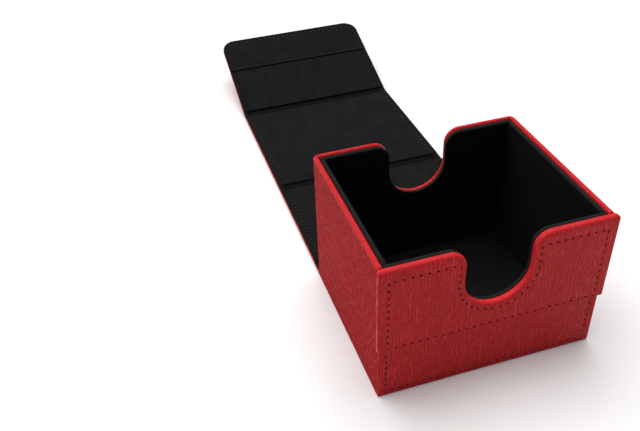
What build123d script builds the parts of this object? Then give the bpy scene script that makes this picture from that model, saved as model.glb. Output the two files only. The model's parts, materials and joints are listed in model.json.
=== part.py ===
from build123d import *
import math
import os

# A card deck box: a leather-covered tray with a finger notch in its front and back walls, and one
# long cover strip that is hinged under the tray's back edge by creases in the leather itself. The
# strip closes over the back, the top and the front, where magnets hold its flap.
#
# Millimetres. The origin is at the centre of the tray's footprint, on the surface it stands on.
# +X is to the right, +Y to the back and +Z up. The box lies open: the cover is flat behind the
# tray, outer side down, and its flap stands up a little at the last crease.

# Tray, over the leather
TRAY_WIDTH = 104.0
TRAY_DEPTH = 87.4
TRAY_HEIGHT = 72.8
TRAY_CORNER_RADIUS = 3.0

# Finger notches, the same in the front and the back wall
NOTCH_WIDTH = 30.0
NOTCH_DEPTH = 31.3
NOTCH_LIP_RADIUS = 7.5

# Sheets
LEATHER = 0.6
TURNED_LEATHER = 0.5
WALL_BOARD = 1.4
BOTTOM_BOARD = 2.0
PANEL_BOARD = 1.0
LINER_CARD = 1.4
FLOOR_LINER_CARD = 1.0
LINER_FABRIC = 0.6
COVER_BOARD = 1.6
COVER_LINING = 0.8
POCKET_LINING = 0.6

# How far the turned-in leather reaches down behind the walls' rim
TURN_IN_DEPTH = 6.0

# Front panel: a leather-wrapped board on the upper part of the front wall
PANEL_OVERHANG = 1.0
PANEL_HEIGHT = 43.8
PANEL_RIM_REACH = 1.2
FRONT_BOARD_DROP = 1.5

# Cover strip
COVER_OVERHANG = 0.0
CREASE_WIDTH = 7.0
FLAP_CORNER_RADIUS = 10.0
FLAP_REST_ANGLE = 19.5
POCKET_LENGTH = 30.8
POCKET_EDGE = 1.2

# Magnets, two pairs that meet when the flap is closed
MAGNET_DIAMETER = 10.0
MAGNET_THICKNESS = 1.0
MAGNET_SPACING = 60.0
MAGNET_HEIGHT = 17.0

# Stitching
THREAD_WIDTH = 0.6
THREAD_DEPTH = 0.25
COVER_STITCH_INSET = 3.75
PANEL_STITCH_INSET = 4.7
PANEL_LOW_STITCH_INSET = 1.5
NOTCH_STITCH_INSET = 3.0
RIM_STITCH_INSET = 5.8
STRIP_BOTTOM_STITCH = 2.6
POCKET_STITCH_INSET = 2.0

# Clearances
BACK_CLEARANCE = 1.0
TOP_CLEARANCE = 1.2
FRONT_CLEARANCE = 1.0
FLAP_FLOOR_CLEARANCE = 1.6
LINER_CLEARANCE = 0.3
FLOOR_LINER_CLEARANCE = 0.2
LINER_DROP = 1.0
MAGNET_CLEARANCE = 0.1
THREAD_CLEARANCE = 0.05
CREASE_LINING_CLEARANCE = 0.3

# Edges and cuts
SMALLEST_RADIUS = 0.3
ROLL_FLAT = 0.1
CUT_MARGIN = 5.0
SAME_PLACE = 0.001

# Levels and planes that the pieces share
half_width = TRAY_WIDTH / 2
front_face = -TRAY_DEPTH / 2
back_face = TRAY_DEPTH / 2
front_board_front = front_face + LEATHER
front_board_back = front_board_front + WALL_BOARD
panel_face = front_face - PANEL_BOARD - LEATHER
wall_thickness = LEATHER + WALL_BOARD + TURNED_LEATHER
floor_top = LEATHER + BOTTOM_BOARD
liner_thickness = LINER_CARD + LINER_FABRIC
liner_half_width = half_width - wall_thickness - LINER_CLEARANCE
liner_back = back_face - wall_thickness - LINER_CLEARANCE
notch_floor_height = TRAY_HEIGHT - NOTCH_DEPTH
notch_centre_height = notch_floor_height + NOTCH_WIDTH / 2
panel_half_width = half_width + PANEL_OVERHANG
panel_bottom = TRAY_HEIGHT - PANEL_HEIGHT

# Cover levels, and its creases in the open state: pivots lie halfway through its thickness
cover_board_top = LEATHER + COVER_BOARD
cover_thickness = cover_board_top + COVER_LINING
pivot_height = cover_thickness / 2
cover_half_width = half_width + COVER_OVERHANG
heel_crease = back_face + BACK_CLEARANCE + pivot_height
rear_crease = heel_crease + TRAY_HEIGHT + TOP_CLEARANCE
front_crease = rear_crease + heel_crease - panel_face + FRONT_CLEARANCE + pivot_height
closed_top_pivot = pivot_height + rear_crease - heel_crease
flap_length = closed_top_pivot - FLAP_FLOOR_CLEARANCE
pocket_start = front_crease + flap_length - POCKET_LENGTH
flap_magnet_distance = closed_top_pivot - MAGNET_HEIGHT

os.makedirs("parts", exist_ok=True)


def save(name, *solids):
    """Write one sub-part, made of one or more separate solids."""
    shape = solids[0] if len(solids) == 1 else Compound(children=list(solids))
    export_step(shape, f"parts/{name}.step")


def block(x, y, z):
    """A box between a low and a high limit along each axis."""
    size = (x[1] - x[0], y[1] - y[0], z[1] - z[0])
    return Pos(x[0], y[0], z[0]) * Box(*size, align=(Align.MIN, Align.MIN, Align.MIN))


def disc(x, y, z, axis, diameter, thickness):
    """A round plate whose middle is at x, y, z, facing along the Y or the Z axis."""
    turn = Rot(90, 0, 0) if axis == "Y" else Rot(0, 0, 0)
    return Pos(x, y, z) * turn * Cylinder(diameter / 2, thickness)


def across(face, y_low, y_high):
    """Stand a face, drawn with X across and Y up, upright and thicken it from y_low to y_high."""
    upright = Plane(origin=(0, y_high, 0), x_dir=(1, 0, 0), z_dir=(0, -1, 0))
    return extrude(upright * face, amount=y_high - y_low)


def notch_face(offset):
    """A finger notch with its rounded lips, grown by `offset` all round and open at the top."""
    half = NOTCH_WIDTH / 2 + offset
    rim = TRAY_HEIGHT - offset
    lip = max(NOTCH_LIP_RADIUS - offset, SMALLEST_RADIUS)
    bow = lip * (1 - math.sqrt(0.5))
    centre = notch_centre_height
    top = TRAY_HEIGHT + CUT_MARGIN
    edges = [
        ThreePointArc((-half - lip, rim), (-half - bow, rim - bow), (-half, rim - lip)),
        Line((-half, rim - lip), (-half, centre)),
        ThreePointArc((-half, centre), (0, centre - half), (half, centre)),
        Line((half, centre), (half, rim - lip)),
        ThreePointArc((half, rim - lip), (half + bow, rim - bow), (half + lip, rim)),
        Polyline((half + lip, rim), (half + lip, top), (-half - lip, top), (-half - lip, rim)),
    ]
    return make_face(edges)


def notched_wall(half, y_low, y_high, bottom, offset):
    """An upright sheet with a finger notch; its rim and notch edge lie `offset` inside the wall's."""
    sheet = block((-half, half), (y_low, y_high), (bottom, TRAY_HEIGHT - offset))
    return sheet - across(notch_face(offset), y_low - CUT_MARGIN, y_high + CUT_MARGIN)


def tray_column(inset, bottom, top, front=front_board_front):
    """The tray's plan, `inset` from its outside, as a solid column with round back corners."""
    half = half_width - inset
    column = block((-half, half), (front, back_face - inset), (bottom, top))
    back_corners = column.edges().filter_by(Axis.Z).group_by(Axis.Y)[-1]
    return fillet(back_corners, max(TRAY_CORNER_RADIUS - inset, SMALLEST_RADIUS))


def tray_boards():
    """The five boards: the front one overlaps the sides' ends and the back one closes the corners."""
    plan = tray_column(LEATHER, LEATHER, TRAY_HEIGHT - LEATHER)
    outer = half_width - LEATHER
    inner = outer - WALL_BOARD
    back_inner = back_face - LEATHER - WALL_BOARD
    side_top = TRAY_HEIGHT - LEATHER
    right = plan & block((inner, outer), (front_board_back, back_inner), (LEATHER, side_top))
    back = plan & notched_wall(outer, back_inner, back_face - LEATHER, LEATHER, LEATHER)
    front = notched_wall(outer, front_board_front, front_board_back, LEATHER, FRONT_BOARD_DROP)
    bottom = block((-inner, inner), (front_board_back, back_inner), (LEATHER, floor_top))
    return bottom, mirror(right, Plane.YZ), right, back, front


def magnet_places():
    """The magnets' places across the box."""
    return (-MAGNET_SPACING / 2, MAGNET_SPACING / 2)


def front_magnets_and_pockets():
    """Two magnets and the pockets they lie in, in the outer side of the front board."""
    depth = MAGNET_THICKNESS + MAGNET_CLEARANCE
    width = MAGNET_DIAMETER + 2 * MAGNET_CLEARANCE
    middle = front_board_front + depth / 2
    magnets = [
        disc(x, middle, MAGNET_HEIGHT, "Y", MAGNET_DIAMETER, MAGNET_THICKNESS) for x in magnet_places()
    ]
    pockets = [disc(x, middle, MAGNET_HEIGHT, "Y", width, depth) for x in magnet_places()]
    return magnets, pockets


def roll_rim(wall, radius):
    """Round the long edges of a wall's rim, and of the notch in it, on both of its faces."""

    def on_rim(edge):
        box = edge.bounding_box()
        in_face = box.max.Y - box.min.Y < SAME_PLACE
        above = box.min.Z > notch_floor_height - SAME_PLACE
        inside = abs(edge.center().X) < wall.bounding_box().max.X - SAME_PLACE
        return in_face and above and inside

    return fillet(wall.edges().filter_by(on_rim), radius)


def wall_leather(boards):
    """One wrap round the left, back and right walls, over the rim and a little way down inside."""
    bottom = LEATHER
    outside = tray_column(0, bottom, TRAY_HEIGHT)
    opening = tray_column(wall_thickness, 0, TRAY_HEIGHT + CUT_MARGIN, front_face - CUT_MARGIN)
    wrap = outside - opening
    rim_edges = [
        e for e in wrap.edges().group_by(Axis.Z)[-1] if e.center().Y > front_board_front + SAME_PLACE
    ]
    wrap = fillet(rim_edges, (wall_thickness - ROLL_FLAT) / 2)
    back_limits = (back_face - wall_thickness - CUT_MARGIN, back_face + CUT_MARGIN)
    wrap -= across(notch_face(0), *back_limits)
    behind_boards = tray_column(LEATHER + WALL_BOARD, 0, TRAY_HEIGHT - TURN_IN_DEPTH)
    wrap -= behind_boards - across(notch_face(TURN_IN_DEPTH), *back_limits)
    for board in boards:
        wrap -= board
    panel_rim = (front_face, front_face + PANEL_RIM_REACH)
    rim_level = (TRAY_HEIGHT - FRONT_BOARD_DROP, TRAY_HEIGHT + CUT_MARGIN)
    return wrap - block((-panel_half_width, panel_half_width), panel_rim, rim_level)


def front_panel():
    """The stitched front panel: its board, and the leather that wraps its edges and rolls over the rim."""
    half = panel_half_width
    board_half = half - LEATHER
    board_bottom = panel_bottom + LEATHER
    board = notched_wall(board_half, panel_face + LEATHER, front_face, board_bottom, LEATHER)
    rim_back = front_face + PANEL_RIM_REACH
    leather = notched_wall(half, panel_face, rim_back, panel_bottom, 0)
    leather = roll_rim(leather, (rim_back - panel_face - ROLL_FLAT) / 2)
    leather -= notched_wall(half + CUT_MARGIN, front_face, rim_back + CUT_MARGIN, 0, FRONT_BOARD_DROP)
    return board, leather - board


def panel_stitches(grow):
    """The front panel's stitch row, a closed band round the panel that follows the notch."""

    def inside(margin):
        half = panel_half_width - PANEL_STITCH_INSET - margin
        low = panel_bottom + PANEL_LOW_STITCH_INSET + margin
        high = TRAY_HEIGHT - RIM_STITCH_INSET - margin
        reach = NOTCH_WIDTH / 2 + NOTCH_STITCH_INSET + margin
        area = Pos(0, (low + high) / 2) * Rectangle(2 * half, high - low)
        slot_height = TRAY_HEIGHT - notch_centre_height
        slot = Pos(0, notch_centre_height + slot_height / 2) * Rectangle(2 * reach, slot_height)
        return area - slot - Pos(0, notch_centre_height) * Circle(reach)

    band = THREAD_WIDTH / 2 + grow
    return across(inside(-band) - inside(band), panel_face, panel_face + THREAD_DEPTH + grow)


def strip_stitches(grow):
    """The front strip's stitch rows: one up each side and one along the bottom."""
    band = THREAD_WIDTH / 2 + grow
    side = cover_half_width - COVER_STITCH_INSET
    depth = (front_face, front_face + THREAD_DEPTH + grow)
    top = panel_bottom + grow
    bottom = (STRIP_BOTTOM_STITCH - band, STRIP_BOTTOM_STITCH + band)
    right = block((side - band, side + band), depth, (bottom[0], top))
    row = block((-side - band, side + band), depth, bottom)
    return right + mirror(right, Plane.YZ) + row


def side_stitches(start, end, grow):
    """Two straight rows along the cover's side edges, let into its outer side."""
    band = THREAD_WIDTH / 2 + grow
    side = cover_half_width - COVER_STITCH_INSET
    length = (start + COVER_STITCH_INSET - grow, end - COVER_STITCH_INSET + grow)
    right = block((side - band, side + band), length, (0, THREAD_DEPTH + grow))
    return [right, mirror(right, Plane.YZ)]


def cover_sheet(inset, start, end, level):
    """A square-ended sheet of the cover between two levels, `inset` from its side edges."""
    half = cover_half_width - inset
    return block((-half, half), (start, end), level)


def flap_sheet(inset, start, level):
    """A sheet of the flap, drawn flat, with its two free corners rounded."""
    half = cover_half_width - inset
    sheet = block((-half, half), (start, front_crease + flap_length - inset), level)
    free_corners = sheet.edges().filter_by(Axis.Z).group_by(Axis.Y)[-1]
    return fillet(free_corners, FLAP_CORNER_RADIUS - inset)


def flap_stitches(grow):
    """The flap's stitch row, let into its outer side, down both edges and round the end."""
    band = THREAD_WIDTH / 2 + grow
    start = front_crease + CREASE_WIDTH / 2 + COVER_STITCH_INSET
    level = (0, THREAD_DEPTH + grow)
    outer = flap_sheet(COVER_STITCH_INSET - band, start - grow, level)
    return outer - flap_sheet(COVER_STITCH_INSET + band, start - CUT_MARGIN, level)


def crease_bands(crease, lining_start=None):
    """The bare leather and the pressed-in lining between two boards of the cover, lying flat."""
    start, end = crease - CREASE_WIDTH / 2, crease + CREASE_WIDTH / 2
    leather = cover_sheet(0, start, end, (0, LEATHER))
    lining_level = (LEATHER, LEATHER + COVER_LINING)
    return leather, cover_sheet(LEATHER, lining_start or start, end, lining_level)


def bent_crease_bands():
    """The front crease's leather and lining, bent as far as the flap stands up."""
    angle = math.radians(FLAP_REST_ANGLE)
    bend = CREASE_WIDTH / 2 / math.tan(angle / 2)
    start = front_crease - CREASE_WIDTH / 2

    def band(low, high, half):
        ring = Circle(bend + pivot_height - low) - Circle(bend + pivot_height - high)
        reach = 2 * bend
        left = Polyline((0, 0), (0, -reach), (reach * math.tan(angle), -reach), (0, 0))
        wedge = make_face(left)
        centre = Plane(origin=(-half, start, pivot_height + bend), x_dir=(0, 1, 0), z_dir=(1, 0, 0))
        return extrude(centre * (ring & wedge), amount=2 * half)

    leather = band(0, LEATHER, cover_half_width)
    return leather, band(LEATHER, LEATHER + COVER_LINING, cover_half_width - LEATHER)


def cover_panel(start, end):
    """One stiff panel of the cover: leather tray, board, lining and its two stitch rows."""
    board = cover_sheet(LEATHER, start, end, (LEATHER, cover_board_top))
    leather = cover_sheet(0, start, end, (0, cover_board_top)) - board
    for row in side_stitches(start, end, THREAD_CLEARANCE):
        leather -= row
    lining = cover_sheet(LEATHER, start, end, (cover_board_top, cover_thickness))
    threads = side_stitches(start, end, 0)
    return {"board": [board], "leather": [leather], "lining": [lining], "thread": threads}


def flap():
    """The front flap, drawn flat: leather, board with two magnets, lining and magnet pocket."""
    start = front_crease + CREASE_WIDTH / 2
    top = cover_thickness + POCKET_LINING
    board = flap_sheet(LEATHER, start, (LEATHER, cover_board_top))
    leather = flap_sheet(0, start, (0, cover_board_top)) - board
    leather -= flap_stitches(THREAD_CLEARANCE)
    lining = flap_sheet(LEATHER, start, (cover_board_top, cover_thickness))
    pocket = flap_sheet(POCKET_EDGE, pocket_start, (cover_thickness, top))

    depth = MAGNET_THICKNESS + MAGNET_CLEARANCE
    centre = (front_crease + flap_magnet_distance, cover_board_top - depth / 2)
    width = MAGNET_DIAMETER + 2 * MAGNET_CLEARANCE
    magnets = [disc(x, *centre, "Z", MAGNET_DIAMETER, MAGNET_THICKNESS) for x in magnet_places()]
    for x in magnet_places():
        board -= disc(x, *centre, "Z", width, depth)

    row = pocket_start + POCKET_STITCH_INSET
    half = cover_half_width - COVER_STITCH_INSET

    def pocket_row(grow):
        band = THREAD_WIDTH / 2 + grow
        return block((-half - grow, half + grow), (row - band, row + band), (top - THREAD_DEPTH - grow, top))

    pocket -= pocket_row(THREAD_CLEARANCE)
    pieces = {
        "flap_board": [board],
        "flap_leather": [leather],
        "flap_lining": [lining],
        "flap_thread": [flap_stitches(0)],
        "flap_magnets": magnets,
        "magnet_pocket": [pocket],
        "magnet_pocket_thread": [pocket_row(0)],
    }
    return pieces


# Tray walls and floor
bottom_board, left_board, right_board, back_board, front_board = tray_boards()
front_magnets, front_pockets = front_magnets_and_pockets()
save("wall_leather", wall_leather([bottom_board, left_board, right_board, back_board, front_board]))
for pocket in front_pockets:
    front_board -= pocket
save("bottom_board", bottom_board)
save("left_board", left_board)
save("right_board", right_board)
save("back_board", back_board)
save("front_board", front_board)
save("front_magnets", *front_magnets)

# Front panel and the leather strip below and behind it
front_panel_board, front_panel_leather = front_panel()
save("front_panel_board", front_panel_board)
save("front_panel_leather", front_panel_leather - panel_stitches(THREAD_CLEARANCE))
save("front_panel_thread", panel_stitches(0))
strip_end = (front_face, front_face + LEATHER, LEATHER, FRONT_BOARD_DROP)
front_strip = notched_wall(cover_half_width, *strip_end)
save("front_strip_leather", front_strip - strip_stitches(THREAD_CLEARANCE))
save("front_strip_thread", strip_stitches(0))
heel_start = heel_crease - CREASE_WIDTH / 2
save("base_leather", cover_sheet(0, front_face, heel_start, (0, LEATHER)))

# Liner: fabric-faced cards inside the four walls and on the floor
card_offset = LINER_DROP + LINER_FABRIC
front_liner_back = front_board_back + liner_thickness
back_liner_front = liner_back - liner_thickness
for side, outer, inner in (
    ("front", front_board_back, front_liner_back),
    ("back", liner_back, back_liner_front),
):
    card_face = outer + math.copysign(LINER_CARD, inner - outer)
    card_limits = sorted((outer, card_face))
    card = notched_wall(liner_half_width, *card_limits, floor_top, card_offset)
    fabric = notched_wall(liner_half_width, *sorted((outer, inner)), floor_top, LINER_DROP) - card
    save(f"{side}_liner_card", card)
    save(f"{side}_liner_fabric", fabric)

liner_length = (front_liner_back, back_liner_front)
liner_inside = liner_half_width - liner_thickness
card_x = (liner_inside + LINER_FABRIC, liner_half_width)
right_card = block(card_x, liner_length, (floor_top, TRAY_HEIGHT - card_offset))
right_fabric = block((liner_inside, liner_half_width), liner_length, (floor_top, TRAY_HEIGHT - LINER_DROP))
right_fabric -= right_card
save("right_liner_card", right_card)
save("right_liner_fabric", right_fabric)
save("left_liner_card", mirror(right_card, Plane.YZ))
save("left_liner_fabric", mirror(right_fabric, Plane.YZ))

floor_x = liner_inside - FLOOR_LINER_CLEARANCE
floor_y = (front_liner_back + FLOOR_LINER_CLEARANCE, back_liner_front - FLOOR_LINER_CLEARANCE)
card_top = floor_top + FLOOR_LINER_CARD
save("floor_liner_card", block((-floor_x, floor_x), floor_y, (floor_top, card_top)))
save("floor_liner_fabric", block((-floor_x, floor_x), floor_y, (card_top, card_top + LINER_FABRIC)))

# Cover: two stiff panels that lie flat, and the creases that hinge them
for panel, start_crease, end_crease in (
    ("back_panel", heel_crease, rear_crease),
    ("top_panel", rear_crease, front_crease),
):
    limits = (start_crease + CREASE_WIDTH / 2, end_crease - CREASE_WIDTH / 2)
    for piece, solids in cover_panel(*limits).items():
        save(f"{panel}_{piece}", *solids)

heel_leather, heel_lining = crease_bands(heel_crease, back_face + CREASE_LINING_CLEARANCE)
rear_leather, rear_lining = crease_bands(rear_crease)
front_leather, front_lining = bent_crease_bands()
save("heel_crease_leather", heel_leather)
save("heel_crease_lining", heel_lining)
save("rear_crease_leather", rear_leather)
save("rear_crease_lining", rear_lining)
save("front_crease_leather", front_leather)
save("front_crease_lining", front_lining)

# Flap: drawn flat, then stood up about its crease
hinge = Axis((0, front_crease, pivot_height), (1, 0, 0))
for name, solids in flap().items():
    save(name, *[solid.rotate(hinge, FLAP_REST_ANGLE) for solid in solids])

print(f"creases at y {heel_crease:.2f}, {rear_crease:.2f}, {front_crease:.2f}, z {pivot_height:.2f}")
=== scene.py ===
import json
import math

import bmesh
import bpy
import numpy as np
from mathutils import Matrix, Vector


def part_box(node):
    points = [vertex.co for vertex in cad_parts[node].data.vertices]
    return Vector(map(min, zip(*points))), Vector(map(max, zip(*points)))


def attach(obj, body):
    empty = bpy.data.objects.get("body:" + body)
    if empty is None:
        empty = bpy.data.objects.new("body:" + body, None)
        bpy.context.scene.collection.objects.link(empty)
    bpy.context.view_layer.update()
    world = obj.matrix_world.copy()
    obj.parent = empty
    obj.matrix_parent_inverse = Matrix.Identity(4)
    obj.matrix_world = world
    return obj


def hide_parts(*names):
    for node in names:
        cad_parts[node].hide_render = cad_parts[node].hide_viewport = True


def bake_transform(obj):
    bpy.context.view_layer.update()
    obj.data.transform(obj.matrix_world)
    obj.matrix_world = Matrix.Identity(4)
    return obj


# A leather card deck box with its cover open. Every length below is in millimetres, in the CAD
# model's frame, and becomes metres only when a mesh, a texture or the camera is made.

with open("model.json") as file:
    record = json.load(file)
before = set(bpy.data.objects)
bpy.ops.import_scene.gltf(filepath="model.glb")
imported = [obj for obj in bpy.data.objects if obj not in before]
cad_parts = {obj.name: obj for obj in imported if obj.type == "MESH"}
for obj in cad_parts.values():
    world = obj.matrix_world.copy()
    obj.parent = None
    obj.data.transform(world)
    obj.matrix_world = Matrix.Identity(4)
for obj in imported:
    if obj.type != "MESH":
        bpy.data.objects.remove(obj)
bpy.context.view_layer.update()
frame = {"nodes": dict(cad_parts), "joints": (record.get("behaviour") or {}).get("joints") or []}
MM = 0.001

# ---------------------------------------------------------------- sizes read from the CAD model


def box_mm(node):
    """Lowest and highest corner of a CAD node."""
    low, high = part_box(node)
    return [v / MM for v in low], [v / MM for v in high]


joints = {j["name"]: j for j in frame["joints"]}
crease = {name: joints[name]["pos_m"][1] / MM for name in joints}
pivot_z = joints["heel_crease"]["pos_m"][2] / MM
rest_angle = -math.radians(joints["front_crease"]["range_deg"][0])

wall_low, wall_high = box_mm("wall_leather")
panel_low, panel_high = box_mm("front_panel_leather")
strip_low, strip_high = box_mm("front_strip_leather")
base_low, base_high = box_mm("base_leather")
front_liner_low, front_liner_high = box_mm("front_liner_fabric")
back_liner_low, _ = box_mm("back_liner_fabric")
left_liner_low, left_liner_high = box_mm("left_liner_fabric")
floor_low, floor_high = box_mm("floor_liner_fabric")
back_panel_low, back_panel_high = box_mm("back_panel_leather")
top_panel_low, top_panel_high = box_mm("top_panel_leather")
_, lining_high = box_mm("top_panel_lining")
heel_lining_low, _ = box_mm("heel_crease_lining")

rim_z = wall_high[2]
half_width = wall_high[0]
panel_half = panel_high[0]
front_y = strip_low[1]
back_y = wall_high[1]
cover_top = lining_high[2]
LINING_SETBACK = 0.1
lining_half = half_width - LINING_SETBACK

# The finger notch: half its width, the radius of its lips and its depth. The pieces that the
# leather's roll covers have a notch that is wider by UNDER_ROLL.
NOTCH_HALF = 15.0
NOTCH_LIP = 7.5
NOTCH_DEPTH = 31.3
notch_centre = rim_z - NOTCH_DEPTH + NOTCH_HALF
NOTCH = (NOTCH_HALF, NOTCH_LIP)
UNDER_ROLL = 1.7
COVERED_NOTCH = (NOTCH_HALF + UNDER_ROLL, NOTCH_LIP - UNDER_ROLL)

# ---------------------------------------------------------------- sizes of the finer detail

LEATHER = 0.6
WALL = 2.5
STITCH_PITCH = 3.55
HOLE_HALF_LENGTH = 0.72
HOLE_HALF_WIDTH = 0.48
HOLE_FLOOR = 0.62
COVER_SEAM = 3.75
SEAM_GROOVE = 0.12
THREAD_DEPTH = 0.22
THREAD_RADIUS = 0.24
FINE_THREAD = {"radius": 0.17, "sides": 5}

# ---------------------------------------------------------------- outlines


def line(start, end):
    """A straight piece of an outline."""
    start, end = np.array(start, float), np.array(end, float)
    return (lambda t: start + (end - start) * t), float(np.linalg.norm(end - start))


def arc(centre, radius, first, last):
    """A round piece of an outline, from one angle in degrees to another."""
    centre, first, last = np.array(centre, float), math.radians(first), math.radians(last)

    def at(t):
        angle = first + (last - first) * t
        return centre + radius * np.array((math.cos(angle), math.sin(angle)))

    return at, abs(radius * (last - first))


SHARP = 0.06
LEAST_LIP = 0.3


def outline(shape, inset):
    """The closed outline of a sheet, `inset` from its edges, as pieces with the inside on the left.

    Each piece is (which edge it starts on, which it ends on, position along it, length)."""
    side, low_in, high_in, notch_in = (inset[k] for k in ("side", "low", "high", "notch"))
    half = shape["half"] - side
    low, high = shape["low"] + low_in, shape["high"] - high_in
    r_low = max(shape["low_radius"] - max(side, low_in), SHARP)
    r_high = max(shape["high_radius"] - max(side, high_in), SHARP)
    pieces = [
        ("low", "low", *line((-half + r_low, low), (half - r_low, low))),
        ("low", "side", *arc((half - r_low, low + r_low), r_low, -90, 0)),
        ("side", "side", *line((half, low + r_low), (half, high - r_high))),
        ("side", "high", *arc((half - r_high, high - r_high), r_high, 0, 90)),
    ]
    if shape["notch"]:
        reach = shape["notch"][0] + notch_in
        lip = max(shape["notch"][1] - max(high_in, notch_in), LEAST_LIP)
        centre = notch_centre
        pieces += [
            ("high", "high", *line((half - r_high, high), (reach + lip, high))),
            ("high", "notch", *arc((reach + lip, high - lip), lip, 90, 180)),
            ("notch", "notch", *line((reach, high - lip), (reach, centre))),
            ("notch", "notch", *arc((0, centre), reach, 0, -180)),
            ("notch", "notch", *line((-reach, centre), (-reach, high - lip))),
            ("notch", "high", *arc((-reach - lip, high - lip), lip, 0, 90)),
            ("high", "high", *line((-reach - lip, high), (-half + r_high, high))),
        ]
    else:
        pieces += [("high", "high", *line((half - r_high, high), (-half + r_high, high)))]
    pieces += [
        ("high", "side", *arc((-half + r_high, high - r_high), r_high, 90, 180)),
        ("side", "side", *line((-half, high - r_high), (-half, low + r_low))),
        ("side", "low", *arc((-half + r_low, low + r_low), r_low, 180, 270)),
    ]
    return pieces


def rectangle(half, low, high, low_radius=SHARP, high_radius=SHARP, notch=None):
    """The measures of a sheet's outline."""
    return dict(
        half=half, low=low, high=high, low_radius=low_radius, high_radius=high_radius, notch=notch
    )


def edges(side, low, high, notch=None):
    """A value for each edge of an outline."""
    return {"side": side, "low": low, "high": high, "notch": high if notch is None else notch}


def everywhere(value):
    """The same value on every edge of an outline."""
    return edges(value, value, value)


def walk(pieces, run, trim):
    """Hole places along a run of an outline's pieces, each as (piece number, share of it)."""
    lengths = [pieces[i][3] for i in run]
    total = sum(lengths)
    start, end = trim
    count = max(1, round((total - start - end) / STITCH_PITCH))
    closed = len(run) == len(pieces)
    places = []
    for k in range(count if closed else count + 1):
        s = start + (total - start - end) * k / count
        j = 0
        while j < len(run) - 1 and s > lengths[j] + 1e-9:
            s -= lengths[j]
            j += 1
        places.append((run[j], min(s / lengths[j], 1.0)))
    return places


NOTCH_ARC = 7
SEAM_END = 0.6
TURN_SPACING, STRAIGHT_SPACING = 1.1, 4.0
FEWEST_IN_TURN = 4
CLOSEST_KNOTS = 0.45
HOLE_SPOTS = ((-1.0, 0), (-HOLE_FLOOR, 1), (HOLE_FLOOR, 1), (1.0, 0))


def knots_of(shape, seam):
    """Where an outline gets its points: (piece, share, on the seam, is a hole)."""
    pieces = outline(shape, seam["inset"] if seam else everywhere(0.5))
    marks = [{} for _ in pieces]
    centres = [[] for _ in pieces]
    limits = {}
    holes = []
    for run, trim in seam["runs"] if seam else ():
        places = walk(pieces, run, trim)
        holes.append(places)
        for i in run:
            limits.setdefault(i, [0.0, 1.0])
        if len(run) != len(pieces):
            (first, start), (last, end) = places[0], places[-1]
            limits[first][0] = max(limits[first][0], start - SEAM_END / pieces[first][3])
            limits[last][1] = min(limits[last][1], end + SEAM_END / pieces[last][3])
        for i, t in places:
            centres[i].append(t)
            step = HOLE_HALF_LENGTH / max(pieces[i][3], 1e-6)
            for offset, hole in HOLE_SPOTS:
                spot = t + offset * step
                if 0 <= spot <= 1:
                    marks[i][round(spot, 6)] = max(marks[i].get(round(spot, 6), 0), hole)
            if t < step or t > 1 - step:
                marks[i][round(t, 6)] = 1
    whole = outline(shape, everywhere(0.0))
    knots = []
    for i, (first, last, _, length) in enumerate(pieces):
        longest = max(length, whole[i][3])
        if first != last or (shape["notch"] and i == NOTCH_ARC):
            fills = max(FEWEST_IN_TURN, math.ceil(longest / TURN_SPACING))
        else:
            fills = max(1, math.ceil(length / STRAIGHT_SPACING))
        found = dict(marks[i])
        found.setdefault(0.0, 0)
        for t in (k / fills for k in range(1, fills)):
            if all(abs(t - m) * longest > CLOSEST_KNOTS for m in found):
                reach = 0.55 * HOLE_HALF_LENGTH
                found[round(t, 6)] = int(any(abs(t - c) * length < reach for c in centres[i]))
        low, high = limits.get(i, (2, 2))
        for t in sorted(found):
            if t < 1 - 1e-6:
                knots.append((i, t, low - 1e-9 <= t <= high + 1e-9, bool(found[t])))
    return knots, holes, pieces


# Stitch holes deeper than this are darkened with painted shade.
SHALLOWEST_DARK_HOLE = 0.2


def ring_at(shape, knots, inset, depth, groove=0.0, pit=0.0):
    """One ring of a sheet: points (u, v, depth) and how deep in a stitch hole each is, which is
    painted as shade in the hole.
    """
    pieces = outline(shape, inset)
    points, pits = [], []
    for i, t, on_seam, hole in knots:
        first, last, at, _ = pieces[i]
        u, v = at(t)
        share = t if first != last else 0.0
        level = depth[first] * (1 - share) + depth[last] * share
        if on_seam:
            level += groove + (pit if hole else 0.0)
        points.append((u, v, level))
        pits.append(1.0 if on_seam and hole and pit > SHALLOWEST_DARK_HOLE else 0.0)
    return points, pits


# ---------------------------------------------------------------- meshes


def make_mesh(name, vertices, faces, material, place, pit=None, edge=None, sharp=50):
    """A mesh object from points in millimetres, with the attributes that its material reads."""
    mesh = bpy.data.meshes.new(name)
    mesh.from_pydata([tuple(c * MM for c in v) for v in vertices], [], faces)
    layer = mesh.attributes.new("place", "FLOAT_VECTOR", "POINT")
    layer.data.foreach_set("vector", (np.array(place, np.float32) * MM).ravel())
    for key, values in (("pit", pit), ("edge", edge)):
        layer = mesh.attributes.new(key, "FLOAT", "POINT")
        if values is not None:
            layer.data.foreach_set("value", np.array(values, np.float32))
    work = bmesh.new()
    work.from_mesh(mesh)
    bmesh.ops.remove_doubles(work, verts=work.verts, dist=2e-7)
    bmesh.ops.dissolve_degenerate(work, edges=work.edges, dist=2e-7)
    bmesh.ops.recalc_face_normals(work, faces=work.faces)
    wide = [f for f in work.faces if len(f.verts) > 4]
    bmesh.ops.triangulate(work, faces=wide, ngon_method="BEAUTY")
    work.to_mesh(mesh)
    work.free()
    mesh.shade_smooth()
    mesh.set_sharp_from_angle(angle=math.radians(sharp))
    piece = bpy.data.objects.new(name, mesh)
    bpy.context.scene.collection.objects.link(piece)
    mesh.materials.append(material)
    return piece


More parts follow.
